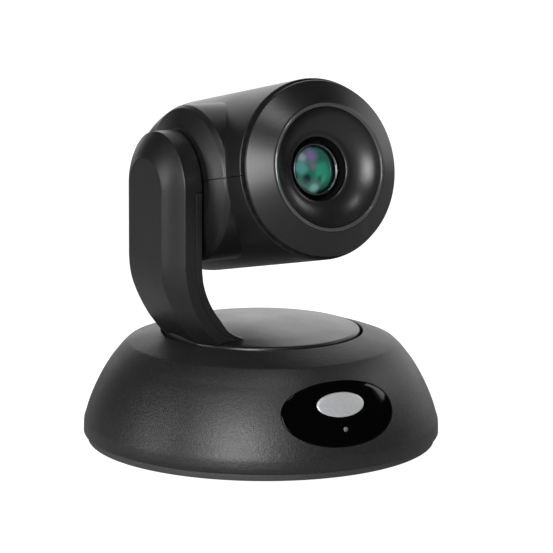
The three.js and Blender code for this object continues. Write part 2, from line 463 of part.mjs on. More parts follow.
HSC.forEach(([s, x], i) => add(head, `head_screw_${i + 1}`, cylZ(x, -s, 2.7, -43.2, -41.6, 12).add(cylZ(x, -s, 1.2, -41.7, -35, 8)), 'steel'));
add(head, 'front_bezel', latheS([[39.6, 46.5], [41.5, 46.5], [41.5, 52.3], [42.4, 52.3], [43.0, 53.3], [42.7, 54.5], [31.8, 61.5], [31.0, 62.3], [29.7, 62.3],
  [29.2, 61.5], [29.2, 59.2], [39.6, 52]], 40), 'bezel');
add(head, 'lens_hood', latheS([[28.9, 61.2], [26.6, 57.8], [22.6, 54.5], [18.4, 52.6], [15.4, 51.5], [15.4, 45],
  [16.8, 45], [16.8, 50.2], [22.6, 52.4], [28.9, 58.2]], 32), 'bezel');
add(head, 'lens_barrel', latheS([[12.8, 24.6], [12.8, 48.7], [12.5, 49.2], [12.15, 49.2], [11.75, 48.3], [11.75, 43.0], [10.4, 43.0], [10.4, 24.6]], 28), 'black');
add(head, 'front_lens', latheS([[0, 49.6], [3.5, 49.35], [7, 48.65], [9.6, 47.75], [11.6, 46.8], [11.6, 43.3], [0, 43.3]], 28), 'lens');
add(head, 'camera_block', box(-24, 24, -24.2, 46, -27, 27).subtract(box(-22, 22, -22.2, 44, -25, 25)).subtract(cylY(0, 0, 11.5, -26, -20, 32)), 'chassis');
add(head, 'sensor_board', box(-20, 20, 40, 41.6, -22, 22), 'board');
[[-15, 11], [15, -11]].forEach(([x, z], i) => add(head, `guide_rod_${i + 1}`, cylY(x, z, 1.2, -21.5, 39.6, 12), 'steel'));
const lensGroup = (s0, s1, r) => {
  const m = (s0 + s1) / 2;
  let g = latheS([[0, s0 - 0.2], [r * 0.6, s0 + 0.3], [r * 0.9, s0 + 1.2], [r, s0 + 1.2], [r, s1 - 1.2], [r * 0.9, s1 - 1.2], [r * 0.6, s1 - 0.3], [0, s1 + 0.2]], 16);
  for (const [x, z] of [[-15, 11], [15, -11]]) {
    const sx = Math.sign(x), sz = Math.sign(z);
    g = g.add(box(Math.min(sx * 6, x + sx * 3), Math.max(sx * 6, x + sx * 3), -m - 1.6, -m + 1.6, Math.min(sz * 3, z + sz * 3), Math.max(sz * 3, z + sz * 3)));
    g = g.subtract(cylY(x, z, 1.5, -40, 40, 12));
  }
  return g;
};
add(head, 'zoom_lens_group', lensGroup(2, 11, 11), 'black');
add(head, 'focus_lens_group', lensGroup(-18, -11, 10), 'black');
add(head, 'block_bracket', box(-26.3, -24.3, -20, 30, -29.3, 20).add(box(-26.3, 20, -20, 30, -29.3, -27.3)).subtract(cylX(0, 0, 5, -30, -20, 20)), 'alu');
add(head, 'tilt_hub', latheL([[4.2, 26.6], [18, 26.6], [18, 29.6], [11, 29.6], [11, 53.2], [7.5, 53.2], [7.5, 65.3], [4.2, 65.3]], 28), 'alu');
add(head, 'tilt_bearing_inner', latheL([[7.7, 56.3], [9.2, 56.3], [9.2, 61.2], [7.7, 61.2]], 28), 'steel');
add(head, 'tilt_pulley', latheL([[7.75, BELT_L0], [TILT_PULLEY_R, BELT_L0], [TILT_PULLEY_R, BELT_L1], [7.75, BELT_L1]], 28), 'alu');

export default group;
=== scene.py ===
import math

import bmesh
import bpy
from mathutils import Matrix, Vector


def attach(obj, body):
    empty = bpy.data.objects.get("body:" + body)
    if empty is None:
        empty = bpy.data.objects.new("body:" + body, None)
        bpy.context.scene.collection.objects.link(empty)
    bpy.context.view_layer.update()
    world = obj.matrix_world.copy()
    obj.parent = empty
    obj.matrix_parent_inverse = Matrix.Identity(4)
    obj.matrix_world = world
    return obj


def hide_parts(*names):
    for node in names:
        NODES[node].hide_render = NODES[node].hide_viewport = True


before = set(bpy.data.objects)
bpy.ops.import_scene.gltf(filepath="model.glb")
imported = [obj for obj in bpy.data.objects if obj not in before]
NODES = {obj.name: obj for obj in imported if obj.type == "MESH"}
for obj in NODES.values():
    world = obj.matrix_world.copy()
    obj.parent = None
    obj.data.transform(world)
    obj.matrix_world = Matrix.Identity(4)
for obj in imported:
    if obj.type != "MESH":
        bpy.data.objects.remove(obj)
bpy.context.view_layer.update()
scene = bpy.context.scene
coll = scene.collection

# ------------------------------------------------------------------ frames (millimetres until a piece is finished)
PAN, TILT, TZ = 3.8, 12.07, 134.66
I4 = Matrix.Identity(4)
M_TURN = Matrix.Rotation(math.radians(PAN), 4, "Z")
M_HEAD = M_TURN @ Matrix.Translation((0, 0, TZ)) @ Matrix.Rotation(math.radians(-TILT), 4, "X")
SCALE = Matrix.Scale(0.001, 4)

# ------------------------------------------------------------------ camera
A0 = math.radians(-28.5)


def turn(v):
    return Vector((v[0] * math.cos(A0) - v[1] * math.sin(A0), v[0] * math.sin(A0) + v[1] * math.cos(A0), v[2]))


def make_camera():
    pitch, yaw, roll, f = 0.189593, 0.005739, 0.008313, 2555.552937
    fw = Vector((math.sin(yaw) * math.cos(pitch), math.cos(yaw) * math.cos(pitch), -math.sin(pitch)))
    rt = Vector((math.cos(yaw), -math.sin(yaw), 0))
    up = rt.cross(fw)
    r2 = math.cos(roll) * rt + math.sin(roll) * up
    u2 = -math.sin(roll) * rt + math.cos(roll) * up
    r2, u2, bk = turn(r2), turn(u2), -turn(fw)
    cam = bpy.data.cameras.new("camera")
    cam.sensor_width = 36.0
    cam.sensor_fit = "HORIZONTAL"
    cam.lens = f / 553 * 36
    cam.clip_start, cam.clip_end = 0.05, 50
    ob = bpy.data.objects.new("camera", cam)
    coll.objects.link(ob)
    m = Matrix.Identity(4)
    for i in range(3):
        m[i][0], m[i][1], m[i][2] = r2[i], u2[i], bk[i]
    m[0][3], m[1][3], m[2][3] = -0.60404, -1.11249, 0.32704
    ob.matrix_world = m
    scene.camera = ob
    return ob


make_camera()


# ------------------------------------------------------------------ mesh helpers
def tmp(name, verts, faces):
    me = bpy.data.meshes.new(name)
    me.from_pydata([tuple(v) for v in verts], [], faces)
    bm = bmesh.new()
    bm.from_mesh(me)
    bmesh.ops.remove_doubles(bm, verts=bm.verts, dist=1e-5)
    bmesh.ops.recalc_face_normals(bm, faces=bm.faces)
    if bm.calc_volume(signed=True) < 0:
        bmesh.ops.reverse_faces(bm, faces=bm.faces)
    bm.to_mesh(me)
    bm.free()
    ob = bpy.data.objects.new(name, me)
    coll.objects.link(ob)
    return ob


def volume(ob):
    bm = bmesh.new()
    bm.from_mesh(ob.data)
    v = bm.calc_volume()
    bm.free()
    return v


def boolean(a, b, op="DIFFERENCE", keep=False):
    before = volume(a)
    done = False
    for solver in ("MANIFOLD", "EXACT"):
        m = a.modifiers.new("b", "BOOLEAN")
        m.operation, m.object = op, b
        m.solver = solver
        dg = bpy.context.evaluated_depsgraph_get()
        me = bpy.data.meshes.new_from_object(a.evaluated_get(dg))
        a.modifiers.clear()
        old, a.data = a.data, me
        after = volume(a)
        if len(me.polygons) and (op == "INTERSECT" or abs(after - before) > 1e-4) and after > 0:
            bpy.data.meshes.remove(old)
            done = True
            break
        a.data = old
        bpy.data.meshes.remove(me)
    if not done:
        print("BOOLEAN changed nothing:", a.name, op, b.name)
    if not keep:
        bpy.data.objects.remove(b)
    return a


def fillet(points, closed=False, seg=5):
    """[(r, a) or (r, a, radius)] with each corner that has a radius rounded."""
    out, n = [], len(points)
    for i, p in enumerate(points):
        if len(p) < 3 or p[2] <= 0 or (not closed and i in (0, n - 1)):
            out.append((p[0], p[1]))
            continue
        c = Vector(p[:2])
        a, b = Vector(points[i - 1][:2]) - c, Vector(points[(i + 1) % n][:2]) - c
        la, lb = a.length, b.length
        a.normalize(), b.normalize()
        ang = a.angle(b)
        d = min(p[2] / max(1e-6, math.tan(ang / 2)), 0.48 * la, 0.48 * lb)
        r = d * math.tan(ang / 2)
        bis = (a + b).normalized()
        ctr = c + bis * (r / math.sin(ang / 2))
        p0, p1 = c + a * d, c + b * d
        a0 = math.atan2(p0.y - ctr.y, p0.x - ctr.x)
        a1 = math.atan2(p1.y - ctr.y, p1.x - ctr.x)
        while a1 - a0 > math.pi:
            a1 -= 2 * math.pi
        while a1 - a0 < -math.pi:
            a1 += 2 * math.pi
        for k in range(seg + 1):
            t = a0 + (a1 - a0) * k / seg
            out.append((ctr.x + r * math.cos(t), ctr.y + r * math.sin(t)))
    return out


def smooth_line(pts, per=6):
    """Catmull-Rom line through the points."""
    out = []
    for i in range(len(pts) - 1):
        p0 = pts[max(0, i - 1)]
        p1, p2 = pts[i], pts[i + 1]
        p3 = pts[min(len(pts) - 1, i + 2)]
        for k in range(per):
            t = k / per
            out.append(tuple(0.5 * ((2 * p1[j]) + (-p0[j] + p2[j]) * t + (2 * p0[j] - 5 * p1[j] + 4 * p2[j] - p3[j]) * t * t
                                    + (-p0[j] + 3 * p1[j] - 3 * p2[j] + p3[j]) * t ** 3) for j in range(2)))
    out.append(tuple(pts[-1]))
    return out


AXES = {
    "Z": lambda r, a, c, s: (r * c, r * s, a),
    "S": lambda r, a, c, s: (r * c, -a, r * s),      # grows towards the lens
    "L": lambda r, a, c, s: (-a, r * c, r * s),      # grows towards the arm
}


def lathe(name, prof, n=96, axis="Z", closed=True, at=(0, 0, 0)):
    fn, verts, rows = AXES[axis], [], []
    for r, a in prof:
        if r < 1e-6:
            rows.append([len(verts)] * n)
            verts.append(fn(0, a, 1, 0))
        else:
            rows.append(list(range(len(verts), len(verts) + n)))
            for i in range(n):
                t = 2 * math.pi * i / n
                verts.append(fn(r, a, math.cos(t), math.sin(t)))
    faces, m = [], len(rows)
    last = m if (closed and not (prof[0][0] < 1e-6 and prof[-1][0] < 1e-6)) else m - 1
    for k in range(last):
        A, B = rows[k], rows[(k + 1) % m]
        for i in range(n):
            j = (i + 1) % n
            f = []
            for v in (A[i], A[j], B[j], B[i]):
                if v not in f:
                    f.append(v)
            if len(f) > 2:
                faces.append(f)
    verts = [(v[0] + at[0], v[1] + at[1], v[2] + at[2]) for v in verts]
    return tmp(name, verts, faces)


def extrude(name, outline, lo, hi, plane="XZ", edge=0.0, es=3):
    """Outline in two axes, extruded along the third from lo to hi, with both rims rounded by edge."""
    n = len(outline)
    cx = sum(p[0] for p in outline) / n
    cy = sum(p[1] for p in outline) / n
    layers = []

    def inset(d):
        o = []
        for i, p in enumerate(outline):
            a, b = outline[i - 1], outline[(i + 1) % n]
            tx, ty = b[0] - a[0], b[1] - a[1]
            k = math.hypot(tx, ty) or 1
            nx, ny = ty / k, -tx / k
            if nx * (p[0] - cx) + ny * (p[1] - cy) > 0:
                nx, ny = -nx, -ny
            o.append((p[0] + nx * d, p[1] + ny * d))
        return o

    if edge > 0:
        for k in range(es + 1):
            t = math.pi / 2 * k / es
            layers.append((inset(edge * (1 - math.sin(t))), lo + edge * (1 - math.cos(t))))
        for k in range(es + 1):
            t = math.pi / 2 * (1 - k / es)
            layers.append((inset(edge * (1 - math.sin(t))), hi - edge * (1 - math.cos(t))))
    else:
        layers = [(outline, lo), (outline, hi)]
    put = {"XZ": lambda u, v, w: (u, w, v), "XY": lambda u, v, w: (u, v, w), "YZ": lambda u, v, w: (w, u, v)}[plane]
    verts = [put(u, v, w) for o, w in layers for u, v in o]
    faces = []
    for k in range(len(layers) - 1):
        for i in range(n):
            j = (i + 1) % n
            faces.append((k * n + i, k * n + j, (k + 1) * n + j, (k + 1) * n + i))
    faces.append(tuple(range(n)))
    faces.append(tuple(range((len(layers) - 1) * n, len(layers) * n)))
    return tmp(name, verts, faces)


def rrect(x0, x1, y0, y1, r, seg=5):
    o = []
    for cx, cy, a in ((x1 - r, y1 - r, 0), (x0 + r, y1 - r, 90), (x0 + r, y0 + r, 180), (x1 - r, y0 + r, 270)):
        for k in range(seg + 1):
            t = math.radians(a + 90 * k / seg)
            o.append((cx + r * math.cos(t), cy + r * math.sin(t)))
    return o


def ring_pts(r, n, x=0.0, y=0.0, ph=0.0):
    return [(x + r * math.cos(ph + 2 * math.pi * i / n), y + r * math.sin(ph + 2 * math.pi * i / n)) for i in range(n)]


def oval(a, b, zc, n, seg=160):
    o = []
    for i in range(seg):
        t = 2 * math.pi * i / seg
        c, s = math.cos(t), math.sin(t)
        o.append((a * math.copysign(abs(c) ** (2 / n), c), zc + b * math.copysign(abs(s) ** (2 / n), s)))
    return o


def box(name, x0, x1, y0, y1, z0, z1):
    v = [(x, y, z) for x in (x0, x1) for y in (y0, y1) for z in (z0, z1)]
    return tmp(name, v, [(0, 1, 3, 2), (4, 6, 7, 5), (0, 4, 5, 1), (2, 3, 7, 6), (0, 2, 6, 4), (1, 5, 7, 3)])


def join(a, *others):
    """Several closed solids in one mesh."""
    bm = bmesh.new()
    for o in (a, *others):
        bm.from_mesh(o.data)
    bm.to_mesh(a.data)
    bm.free()
    for o in others:
        bpy.data.objects.remove(o)
    return a


def piece(ob, name, body, mat, M=I4, rep=(), angle=32, weighted=False, bevel=0.0):
    ob.name = name
    ob.data.name = name
    ob.data.transform(SCALE @ M)
    ob.data.materials.clear()
    ob.data.materials.append(mat)
    ob.data.shade_smooth()
    ob.data.set_sharp_from_angle(angle=math.radians(angle))
    if bevel:
        b = ob.modifiers.new("edge", "BEVEL")
        b.width, b.segments, b.limit_method = bevel * 0.001, 2, "ANGLE"
        b.angle_limit = math.radians(40)
        b.use_clamp_overlap = True
    if weighted or bevel:
        w = ob.modifiers.new("weight", "WEIGHTED_NORMAL")
        w.keep_sharp = True
    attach(ob, body)
    if rep:
        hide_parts(*rep)
    return ob


# ------------------------------------------------------------------ materials
class Mat:
    def __init__(self, name):
        self.m = bpy.data.materials.new(name)
        self.m.use_nodes = True
        self.t = self.m.node_tree
        self.b = self.t.nodes["Principled BSDF"]
        self.tc = self.t.nodes.new("ShaderNodeTexCoord")

    def n(self, kind, **kw):
        x = self.t.nodes.new(kind)
        for k, v in kw.items():
            setattr(x, k, v)
        return x

    def link(self, a, b):
        self.t.links.new(a, b)

    def noise(self, scale, detail=2.0, rough=0.5, stretch=None):
        x = self.n("ShaderNodeTexNoise")
        x.inputs["Scale"].default_value = scale
        x.inputs["Detail"].default_value = detail
        x.inputs["Roughness"].default_value = rough
        if stretch:
            mp = self.n("ShaderNodeMapping")
            mp.inputs["Scale"].default_value = stretch
            self.link(self.tc.outputs["Object"], mp.inputs["Vector"])
            self.link(mp.outputs["Vector"], x.inputs["Vector"])
        else:
            self.link(self.tc.outputs["Object"], x.inputs["Vector"])
        return x.outputs["Fac"]

    def remap(self, src, lo, hi, a, b, smooth=False):
        x = self.n("ShaderNodeMapRange")
        if smooth:
            x.interpolation_type = "SMOOTHSTEP"
        for k, v in (("From Min", lo), ("From Max", hi), ("To Min", a), ("To Max", b)):
            x.inputs[k].default_value = v
        self.link(src, x.inputs["Value"])
        return x.outputs["Result"]

    def mix(self, fac, a, b, blend="MIX"):
        x = self.n("ShaderNodeMix")
        x.data_type = "RGBA"
        x.blend_type = blend
        for sock, v in ((x.inputs[0], fac), (x.inputs[6], a), (x.inputs[7], b)):
            if hasattr(v, "links"):
                self.link(v, sock)
            else:
                sock.default_value = v if isinstance(v, (int, float)) else (*v, 1.0)
        return x.outputs[2]

    def math(self, op, a, b=0.0):
        x = self.n("ShaderNodeMath")
        x.operation = op
        for sock, v in ((x.inputs[0], a), (x.inputs[1], b)):
            if hasattr(v, "links"):
                self.link(v, sock)
            else:
                sock.default_value = v
        return x.outputs[0]

    def finish(self, color, rough, height=None, dist=0.0001, strength=0.3, edge=0.0, **uniform):
        self.link(color, self.b.inputs["Base Color"]) if hasattr(color, "links") else setattr(self.b.inputs["Base Color"], "default_value", (*color, 1))
        self.link(rough, self.b.inputs["Roughness"]) if hasattr(rough, "links") else setattr(self.b.inputs["Roughness"], "default_value", rough)
        normal = None
        if edge:
            bv = self.n("ShaderNodeBevel")
            bv.samples = 4
            bv.inputs["Radius"].default_value = edge * 0.001
            normal = bv.outputs["Normal"]
        if height is not None:
            bp = self.n("ShaderNodeBump")
            bp.inputs["Strength"].default_value = strength
            bp.inputs["Distance"].default_value = dist
            self.link(height, bp.inputs["Height"])
            if normal is not None:
                self.link(normal, bp.inputs["Normal"])
            normal = bp.outputs["Normal"]
        if normal is not None:
            self.link(normal, self.b.inputs["Normal"])
        for k, v in uniform.items():
            self.b.inputs[k.replace("_", " ")].default_value = v
        return self.m


def plastic(name, base, rough=0.5, grain=1500.0, strength=0.25, dist=0.00012, speck=0.25, var=0.12, edge_wear_and_highlight_amount=0.35, edge=0.35, spec=0.5, coat=0.0):
    """Moulded plastic with a fine spark-eroded grain, slow tone drift, edges lightened partly as rubbed wear and partly
    as a painted edge highlight, and uneven gloss.
    """
    k = Mat(name)
    slow = k.remap(k.noise(14.0, 3.0), 0.3, 0.7, 1 - var, 1 + var)
    fine = k.remap(k.noise(grain, 2.0, 0.6), 0.3, 0.7, 1 - speck, 1 + speck)
    tone = k.math("MULTIPLY", slow, fine)
    dark = k.mix(1.0, base, (1, 1, 1), "MULTIPLY")
    grey = k.n("ShaderNodeCombineColor")
    for i in range(3):
        k.link(tone, grey.inputs[i])
    col = k.mix(1.0, dark, grey.outputs["Color"], "MULTIPLY")
    # painted edge highlight: convex edges (found by pointiness) are lightened, partly as rubbing wear and partly to
    # stand in for the light the edges catch
    geo = k.n("ShaderNodeNewGeometry")
    edge_wear_and_highlight = k.remap(geo.outputs["Pointiness"], 0.53, 0.62, 0.0, edge_wear_and_highlight_amount, True)
    patch = k.remap(k.noise(60.0, 3.0), 0.42, 0.62, 0.2, 1.0, True)
    col = k.mix(k.math("MULTIPLY", edge_wear_and_highlight, patch), col, tuple(min(1, c * 2.6 + 0.01) for c in base))
    rr = k.math("ADD", k.remap(k.noise(35.0, 3.0), 0.3, 0.7, rough - 0.03, rough + 0.04),
                k.remap(k.noise(grain * 0.8, 1.0), 0.3, 0.7, -0.02, 0.02))
    h = k.math("ADD", k.noise(grain, 2.0, 0.65), k.math("MULTIPLY", k.noise(grain * 0.32, 2.0), 0.6))
    return k.finish(col, rr, h, dist, strength, edge, Specular_IOR_Level=spec, Coat_Weight=coat)


def metal(name, base, rough=0.3, brush=None, strength=0.12, var=0.15, edge=0.2):
    k = Mat(name)
    fine = k.noise(900.0, 3.0, 0.6, brush)
    slow = k.noise(40.0, 3.0)
    col = k.mix(k.remap(fine, 0.3, 0.7, 0.0, 1.0), tuple(c * (1 - var) for c in base), tuple(min(1, c * (1 + var)) for c in base))
    col = k.mix(k.remap(slow, 0.45, 0.7, 0.0, 0.35, True), col, tuple(c * 0.7 for c in base))
    rr = k.remap(slow, 0.3, 0.7, rough - 0.06, rough + 0.08)
    return k.finish(col, rr, fine, 0.00004, strength, edge, Metallic=1.0)


def simple(name, base, rough=0.5, scale=700.0, strength=0.2, var=0.15, edge=0.15, **uniform):
    k = Mat(name)
    f = k.noise(scale, 3.0)
    s = k.noise(30.0, 3.0)
    col = k.mix(k.remap(f, 0.3, 0.7, 0.0, 1.0), tuple(c * (1 - var) for c in base), tuple(min(1, c * (1 + var)) for c in base))
    rr = k.remap(s, 0.3, 0.7, max(0.02, rough - 0.05), rough + 0.06)
    return k.finish(col, rr, f, 0.00006, strength, edge, **uniform)


MAT = {}
MAT["base"] = plastic("base_charcoal", (0.0135, 0.0135, 0.0138), 0.42, 1400.0, 0.7, 0.0002, 0.55)
MAT["disc"] = plastic("disc_charcoal", (0.010, 0.010, 0.0102), 0.32, 1500.0, 0.22, 0.0001, 0.3)
MAT["arm"] = plastic("arm_charcoal", (0.0085, 0.0085, 0.0087), 0.36, 1500.0, 0.3, 0.00012, 0.25, edge=0.5)
MAT["head"] = plastic("head_charcoal", (0.0085, 0.0085, 0.0087), 0.34, 1600.0, 0.22, 0.0001, 0.2, edge=0.45)
MAT["bezel"] = plastic("bezel_satin", (0.0085, 0.0085, 0.0087), 0.32, 2600.0, 0.1, 0.00005, 0.1, 0.08, edge=0.0)
# painted highlight: the lip is the bezel's plastic given a much lighter tone, so it reads as the bright highlight line
# along the lip
MAT["lip"] = plastic("bezel_lip_painted_highlight", (0.06, 0.06, 0.061), 0.22, 2600.0, 0.05, 0.00003, 0.1, 0.08, edge=0.2, spec=0.7)
MAT["dish"] = plastic("dish_satin", (0.010, 0.010, 0.0103), 0.33, 2600.0, 0.08, 0.00005, 0.1, 0.08, edge=0.0)
MAT["pan"] = plastic("base_plate_plastic", (0.045, 0.045, 0.046), 0.5, 1300.0, 0.3)
MAT["gloss"] = plastic("window_black_gloss", (0.0012, 0.0012, 0.0014), 0.07, 220.0, 0.015, 0.00003, 0.1, 0.1, edge_wear_and_highlight_amount=0.0, edge=0.0, spec=0.12)
MAT["silver"] = simple("badge_silver", (0.62, 0.63, 0.65), 0.36, 420.0, 0.04, 0.05, edge=0.2, Metallic=0.45)
MAT["led"] = simple("led_diffuser", (0.13, 0.135, 0.14), 0.4, 900.0, 0.1, Subsurface_Weight=0.2)
MAT["rubber"] = simple("foot_rubber", (0.012, 0.012, 0.012), 0.8, 900.0, 0.4)
MAT["black"] = simple("black_nylon", (0.010, 0.010, 0.011), 0.42, 1100.0, 0.2)
MAT["panel"] = plastic("rear_panel_plastic", (0.016, 0.016, 0.0165), 0.48, 1600.0, 0.3)
MAT["pcb"] = simple("solder_mask_green", (0.012, 0.085, 0.035), 0.35, 260.0, 0.25, 0.3)
MAT["jack"] = metal("nickel_shell", (0.62, 0.62, 0.61), 0.3, (14, 1, 1))
MAT["cast"] = metal("die_cast_zinc", (0.46, 0.47, 0.48), 0.5, None, 0.3)
MAT["machined"] = metal("machined_aluminium", (0.72, 0.73, 0.74), 0.3, (1, 1, 20))
MAT["can"] = metal("motor_can", (0.42, 0.42, 0.43), 0.36, (1, 1, 12))
MAT["brass"] = metal("brass", (0.78, 0.56, 0.27), 0.3, (10, 10, 1))
MAT["gold"] = metal("gold_contact", (0.95, 0.70, 0.30), 0.25)
MAT["gear"] = simple("acetal_gear", (0.72, 0.70, 0.65), 0.42, 500.0, 0.1, 0.05, Subsurface_Weight=0.1)
MAT["belt"] = simple("belt_rubber", (0.012, 0.012, 0.012), 0.75, 1200.0, 0.4)
MAT["cable"] = simple("cable_jacket", (0.014, 0.014, 0.015), 0.55, 900.0, 0.25)
MAT["steel"] = metal("steel", (0.60, 0.60, 0.61), 0.28, None, 0.15)
MAT["white"] = simple("jack_insulator", (0.78, 0.77, 0.74), 0.4, 600.0, 0.1, 0.05)
MAT["knob"] = simple("knob_nylon", (0.62, 0.62, 0.60), 0.42, 700.0, 0.15, 0.06)
MAT["lensblack"] = simple("lens_well_black", (0.002, 0.002, 0.002), 0.8, 1400.0, 0.2, edge=0.0, Specular_IOR_Level=0.08)
MAT["ring"] = metal("lens_ring", (0.30, 0.31, 0.32), 0.3, None, 0.1)


def lens_material(centre, right, up):
    """Front element with painted reflections: green and violet coating reflections, dark patches and a pale highlight,
    as soft zones fixed on the glass.
    """
    k = Mat("lens_painted_reflections")
    off = k.n("ShaderNodeVectorMath", operation="SUBTRACT")
    k.link(k.tc.outputs["Object"], off.inputs[0])
    off.inputs[1].default_value = centre
    uv = k.n("ShaderNodeCombineXYZ")
    for i, axis in enumerate((right, up)):
        d = k.n("ShaderNodeVectorMath", operation="DOT_PRODUCT")
        k.link(off.outputs[0], d.inputs[0])
        d.inputs[1].default_value = tuple(1000 * c for c in axis)
        k.link(d.outputs["Value"], uv.inputs[i])
    warp = k.remap(k.noise(140.0, 2.0), 0.3, 0.7, -0.7, 0.7)

    def painted_reflection_zone(x, y, r, soft):
        d = k.n("ShaderNodeVectorMath", operation="DISTANCE")
        k.link(uv.outputs[0], d.inputs[0])
        d.inputs[1].default_value = (x, y, 0)
        return k.remap(k.math("ADD", d.outputs["Value"], warp), r - soft, r + soft, 1.0, 0.0, True)

    # painted reflections and a painted highlight: coloured zones, dark spots and a pale grey patch placed where the
    # glass would reflect light
    col = k.mix(painted_reflection_zone(0, 0, 10.6, 1.2), (0.012, 0.02, 0.022), (0.03, 0.17, 0.13))
    for x, y, r, soft, c in ((4.0, -1.5, 5.0, 2.2, (0.04, 0.42, 0.25)), (-8.6, 1.5, 3.4, 2.0, (0.10, 0.36, 0.32)), (-1.5, 6.8, 3.0, 2.2, (0.22, 0.17, 0.34)),
                             (-5.4, -4.4, 2.0, 1.5, (0.01, 0.03, 0.035)), (-1.2, 1.6, 2.0, 1.6, (0.17, 0.20, 0.21)), (-1.0, -8.8, 2.2, 1.6, (0.20, 0.42, 0.40)),
                             (-7.0, 6.4, 1.9, 1.5, (0.30, 0.38, 0.42)), (1.6, -5.0, 1.6, 1.2, (0.02, 0.10, 0.08))):
        col = k.mix(painted_reflection_zone(x, y, r, soft), col, c)
    rr = k.remap(k.noise(60.0, 2.0), 0.3, 0.7, 0.16, 0.26)
    return k.finish(col, rr, None, Metallic=0.35, Coat_Weight=1.0, Coat_Roughness=0.03)


# ------------------------------------------------------------------ base shell
DOME = smooth_line([(90.0, 11.8), (88.9, 15.5), (87.8, 19.2), (86.5, 22.7), (85.1, 26.1), (83.6, 29.4), (82.0, 32.6), (80.3, 35.7),
                    (78.5, 38.7), (76.6, 41.6), (74.5, 44.3), (72.4, 47.0), (70.1, 49.5), (67.9, 51.6)], 3)
OUTER = [(89.7, 5.2), (90.0, 5.35), (90.2, 5.75), (90.15, 8.5), (90.05, 10.9), (89.85, 12.5)] + DOME[2:-2] + \
    fillet([DOME[-3], (67.7, 51.75, 4.0), (62.2, 53.8)], seg=6)[1:-1] + [(62.2, 53.8), (58.5, 55.0), (54.8, 56.15), (52.2, 56.98), (51.75, 57.1), (51.4, 57.05), (51.2, 56.7)]


def offset(prof, d):
    o = []
    for i, (r, z) in enumerate(prof):
        a, b = prof[max(0, i - 1)], prof[min(len(prof) - 1, i + 1)]
        tx, tz = b[0] - a[0], b[1] - a[1]
        n = math.hypot(tx, tz)
        o.append((r - d * tz / n, z + d * tx / n))
    return o


PROF_FOR_OFFSET = [(90.2, 5.2), (90.15, 8.5), (90.0, 11.8)] + DOME[1:-1] + [(67.8, 51.7), (62.2, 53.8), (51.2, 57.3)]


def dome_r(z, d=0.0):
    o = offset(PROF_FOR_OFFSET, d)
    for (r0, z0), (r1, z1) in zip(o, o[1:]):
        if z0 <= z <= z1:
            return r0 + (r1 - r0) * (z - z0) / (z1 - z0)
    return o[0][0] if z < o[0][1] else o[-1][0]


def dome_solid(d, n=180):
    o = offset(PROF_FOR_OFFSET, d)
    return lathe("dome", [(0, o[0][1] - 0.6), (o[0][0], o[0][1] - 0.6), *o, (0, o[-1][1])], n)


WIN = (30.82, 14.65, 30.73, 2.09)
inner = offset(PROF_FOR_OFFSET, 2.6)
shell = lathe("shell", OUTER + [(51.2, 50.6), (53.4, 50.6), (53.4, inner[-1][1] - 0.6)] + [p for p in inner[::-1] if p[0] > 55 and p[1] > 5.4] + [(inner[0][0], 5.2)], 360)
boolean(shell, extrude("cut", oval(*WIN), -100, -55))
boolean(shell, extrude("cut", rrect(-47.3, 47.3, 8.7, 39.3, 1.2), 61.7, 100))
piece(shell, "Base_Housing", "root", MAT["base"], rep=("base_shell",), angle=38)

# bottom pan: its outer rim shows as a thin lighter band under the shell
pan = lathe("pan", fillet([(6.8, 1.5), (88.1, 1.5, 0.5), (88.5, 4.9, 0.3), (84.0, 4.9, 0.3), (84.0, 4.0, 0.2), (6.8, 4.0)], True, 4), 240)
for a in (30, 150, 270):
    x, y = 44 * math.cos(math.radians(a)), 44 * math.sin(math.radians(a))
    boolean(pan, extrude("c", ring_pts(1.7, 24, x, y), 1, 5, "XY"))
    boolean(pan, extrude("c", ring_pts(3.6, 32, x, y), 1, 3.0, "XY"))
piece(pan, "Base_Pan", "root", MAT["pan"], rep=("base_plate",), angle=38)

for i, a in enumerate((45, 135, 225, 315)):
    x, y = 70 * math.cos(math.radians(a)), 70 * math.sin(math.radians(a))
    prof = fillet([(0, 0.25), (5.4, 0.25, 0.1), (5.8, 0.0, 0.1), (8.0, 0.0, 0.35), (7.8, 1.2, 0.15), (0, 1.2)], False, 4)
    piece(lathe("foot", prof, 64, at=(x, y, 0)), f"Foot_Pad_{i + 1}", "root", MAT["rubber"], rep=(f"foot_{i + 1}",))

# ------------------------------------------------------------------ front window, badge, light
def dome_plate(name, outline_fn, d0, d1, edge, rings=10, seg=160):
    """A plate that follows the dome between two offsets, with a rounded front rim. outline_fn(rho, theta) gives x, z."""
    verts, faces = [], []
    rows = []

    def row(rho, d):
        start = len(verts)
        for i in range(seg):
            x, z = outline_fn(rho, 2 * math.pi * i / seg)
            r = dome_r(z, d)
            verts.append((x, -math.sqrt(max(1.0, r * r - x * x)), z))
        rows.append(list(range(start, start + seg)))

    x, z = outline_fn(0, 0)
    verts.append((x, -math.sqrt(dome_r(z, d0) ** 2 - x * x), z))
    top = 0
    rho_e = 1 - edge[0]
    for k in range(1, rings + 1):
        row(rho_e * k / rings, d0)
    for k in range(1, 5):
        t = math.pi / 2 * k / 4
        row(rho_e + edge[0] * math.sin(t), d0 + edge[1] * (1 - math.cos(t)))
    row(1.0, d1)
    for k in range(rings - 1, 0, -1):
        row(k / rings, d1)
    verts.append((x, -math.sqrt(dome_r(z, d1) ** 2 - x * x), z))
    bot = len(verts) - 1
    for i in range(seg):
        faces.append((top, rows[0][i], rows[0][(i + 1) % seg]))
        faces.append((bot, rows[-1][(i + 1) % seg], rows[-1][i]))
    for A, B in zip(rows, rows[1:]):
        for i in range(seg):
            j = (i + 1) % seg
            faces.append((A[i], B[i], B[j], A[j]))
    return tmp(name, verts, faces)


def super_pt(a, b, zc, n):
    def f(rho, t):
        c, s = math.cos(t), math.sin(t)
        return (rho * a * math.copysign(abs(c) ** (2 / n), c), zc + rho * b * math.copysign(abs(s) ** (2 / n), s))
    return f


